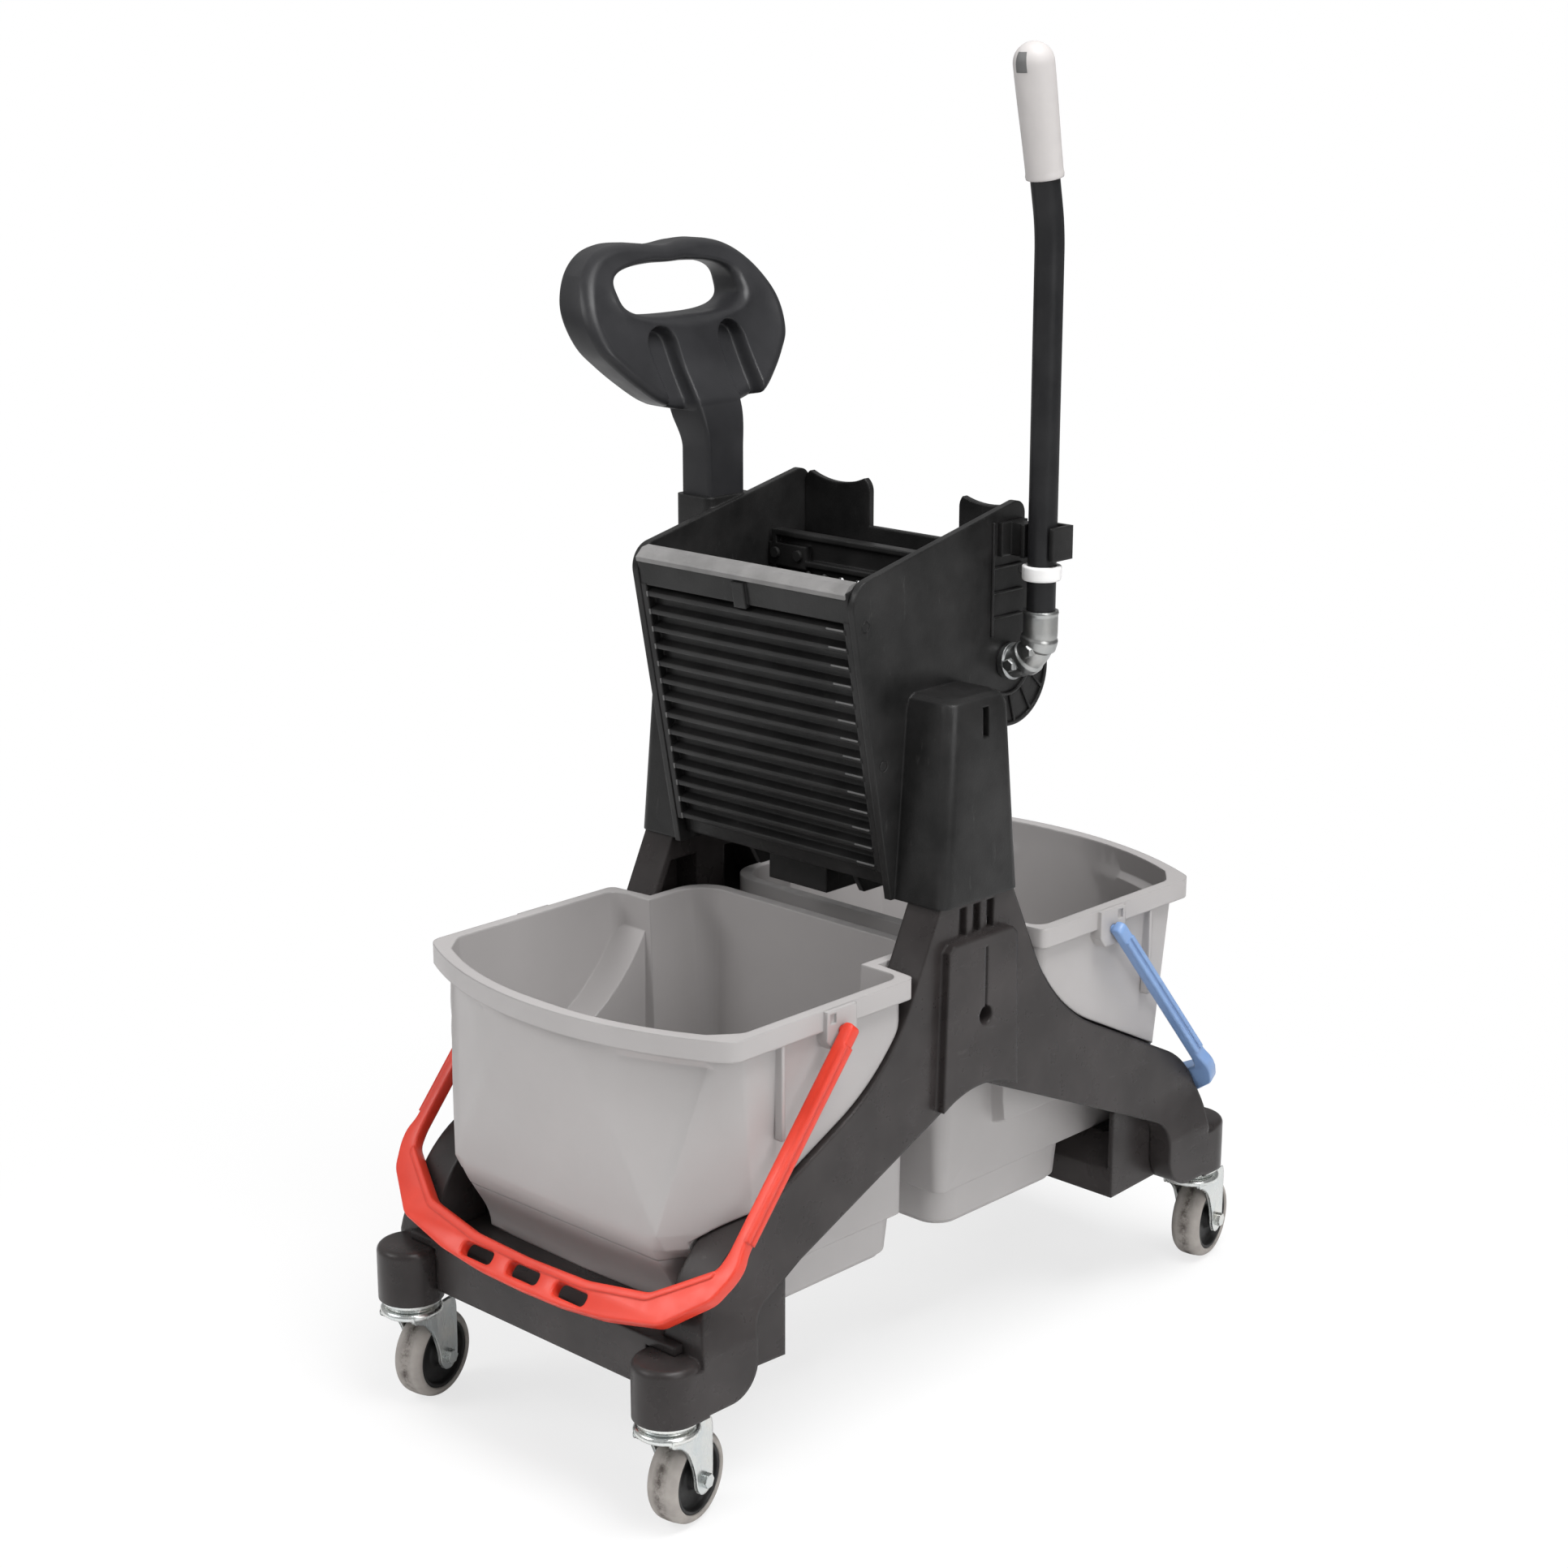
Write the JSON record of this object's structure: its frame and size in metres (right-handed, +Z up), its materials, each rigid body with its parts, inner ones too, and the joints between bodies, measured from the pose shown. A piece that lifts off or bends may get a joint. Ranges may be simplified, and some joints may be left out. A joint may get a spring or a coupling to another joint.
{
  "type": "double mop bucket trolley",
  "caption": "Mop trolley with front and rear lift-out buckets on an arched castor frame, a lever-worked press wringer over the middle and a push handle.",
  "frame": {"origin": "on the floor at the centre of the castor footprint", "axes": "+X across towards the lever, +Y along towards the rear bucket with the blue bail, +Z up"},
  "size_m": [0.4631, 0.8093, 1.168],
  "materials": {
    "black_plastic": "moulded, fine scuffs",
    "grey_plastic": "moulded, smooth",
    "red_plastic": "moulded",
    "blue_plastic": "moulded",
    "zinc": "bright zinc plate",
    "hub_plastic": "moulded",
    "tyre_rubber": "grey non-marking rubber",
    "black_tube": "satin black",
    "grip_plastic": "soft grey",
    "white_plastic": "moulded",
    "pale_plastic": "moulded"
  },
  "bodies": {
    "chassis": {"side_frame_right": "black_plastic", "side_frame_left": "black_plastic", "front_beam": "black_plastic", "rear_beam": "black_plastic", "beam_bolts": "zinc", "castor_stems": "zinc", "wringer_side_right": "black_plastic", "wringer_side_left": "black_plastic", "ribbed_front": "black_plastic", "front_ledge": "pale_plastic", "back_wall": "black_plastic", "drain_floor": "black_plastic", "hopper_screws": "zinc", "shaft_bushes": "white_plastic", "lever_clip": "black_plastic", "push_handle": "black_plastic"},
    "front_bucket_body": {"front_bucket": "grey_plastic"},
    "rear_bucket_body": {"rear_bucket": "grey_plastic"},
    "front_bail_body": {"front_bail": "red_plastic"},
    "rear_bail_body": {"rear_bail": "blue_plastic"},
    "lever": {"press_shaft": "zinc", "sector_gear_right": "black_plastic", "sector_gear_left": "black_plastic", "lever_elbow": "zinc", "lever_tube": "black_tube", "lever_collar": "white_plastic", "lever_grip": "grip_plastic"},
    "press": {"press_plate": "black_plastic", "rack_right": "black_plastic", "rack_left": "black_plastic", "rack_screws": "zinc"},
    "swivel_fr": {"castor_fork_fr": "zinc", "castor_axle_fr": "zinc"},
    "wheel_fr": {"wheel_core_fr": "hub_plastic", "wheel_tyre_fr": "tyre_rubber"},
    "swivel_fl": {"castor_fork_fl": "zinc", "castor_axle_fl": "zinc"},
    "wheel_fl": {"wheel_core_fl": "hub_plastic", "wheel_tyre_fl": "tyre_rubber"},
    "swivel_rr": {"castor_fork_rr": "zinc", "castor_axle_rr": "zinc"},
    "wheel_rr": {"wheel_core_rr": "hub_plastic", "wheel_tyre_rr": "tyre_rubber"},
    "swivel_rl": {"castor_fork_rl": "zinc", "castor_axle_rl": "zinc"},
    "wheel_rl": {"wheel_core_rl": "hub_plastic", "wheel_tyre_rl": "tyre_rubber"}
  },
  "joints": [
    {"name": "castor_swivel_fr", "type": "hinge", "parent": "chassis", "child": "swivel_fr", "pos_m": [0.161, -0.357, 0.105], "axis": [0, 0, 1], "continuous": true},
    {"name": "wheel_spin_fr", "type": "hinge", "parent": "swivel_fr", "child": "wheel_fr", "pos_m": [0.15559, -0.33157, 0.04], "axis": [-0.9781, -0.2079, 0], "continuous": true},
    {"name": "castor_swivel_fl", "type": "hinge", "parent": "chassis", "child": "swivel_fl", "pos_m": [-0.161, -0.357, 0.105], "axis": [0, 0, 1], "continuous": true},
    {"name": "wheel_spin_fl", "type": "hinge", "parent": "swivel_fl", "child": "wheel_fl", "pos_m": [-0.16641, -0.33157, 0.04], "axis": [-0.9781, -0.2079, 0], "continuous": true},
    {"name": "castor_swivel_rr", "type": "hinge", "parent": "chassis", "child": "swivel_rr", "pos_m": [0.161, 0.357, 0.105], "axis": [0, 0, 1], "continuous": true},
    {"name": "wheel_spin_rr", "type": "hinge", "parent": "swivel_rr", "child": "wheel_rr", "pos_m": [0.15559, 0.38243, 0.04], "axis": [-0.9781, -0.2079, 0], "continuous": true},
    {"name": "castor_swivel_rl", "type": "hinge", "parent": "chassis", "child": "swivel_rl", "pos_m": [-0.161, 0.357, 0.105], "axis": [0, 0, 1], "continuous": true},
    {"name": "wheel_spin_rl", "type": "hinge", "parent": "swivel_rl", "child": "wheel_rl", "pos_m": [-0.16641, 0.38243, 0.04], "axis": [-0.9781, -0.2079, 0], "continuous": true},
    {"name": "front_bucket_lift", "type": "slide", "parent": "chassis", "child": "front_bucket_body", "axis": [0, -0.7071, 0.7071], "range_m": [0, 0.21]},
    {"name": "front_bail_swing", "type": "hinge", "parent": "front_bucket_body", "child": "front_bail_body", "pos_m": [0, -0.181, 0.394], "axis": [-1, 0, 0], "range_deg": [0, 139]},
    {"name": "rear_bucket_lift", "type": "slide", "parent": "chassis", "child": "rear_bucket_body", "axis": [0, 0.7071, 0.7071], "range_m": [0, 0.21]},
    {"name": "rear_bail_swing", "type": "hinge", "parent": "rear_bucket_body", "child": "rear_bail_body", "pos_m": [0, 0.181, 0.394], "axis": [1, 0, 0], "range_deg": [0, 139]},
    {"name": "lever_swing", "type": "hinge", "parent": "chassis", "child": "lever", "pos_m": [0, 0.093, 0.648], "axis": [1, 0, 0], "range_deg": [0, 75]},
    {"name": "press_slide", "type": "slide", "parent": "chassis", "child": "press", "axis": [0, -1, 0], "range_m": [0, 0.0576]}
  ],
  "couplings": [
    {"joint": "press_slide", "follows": "lever_swing", "m_per_rad": 0.044}
  ]
}
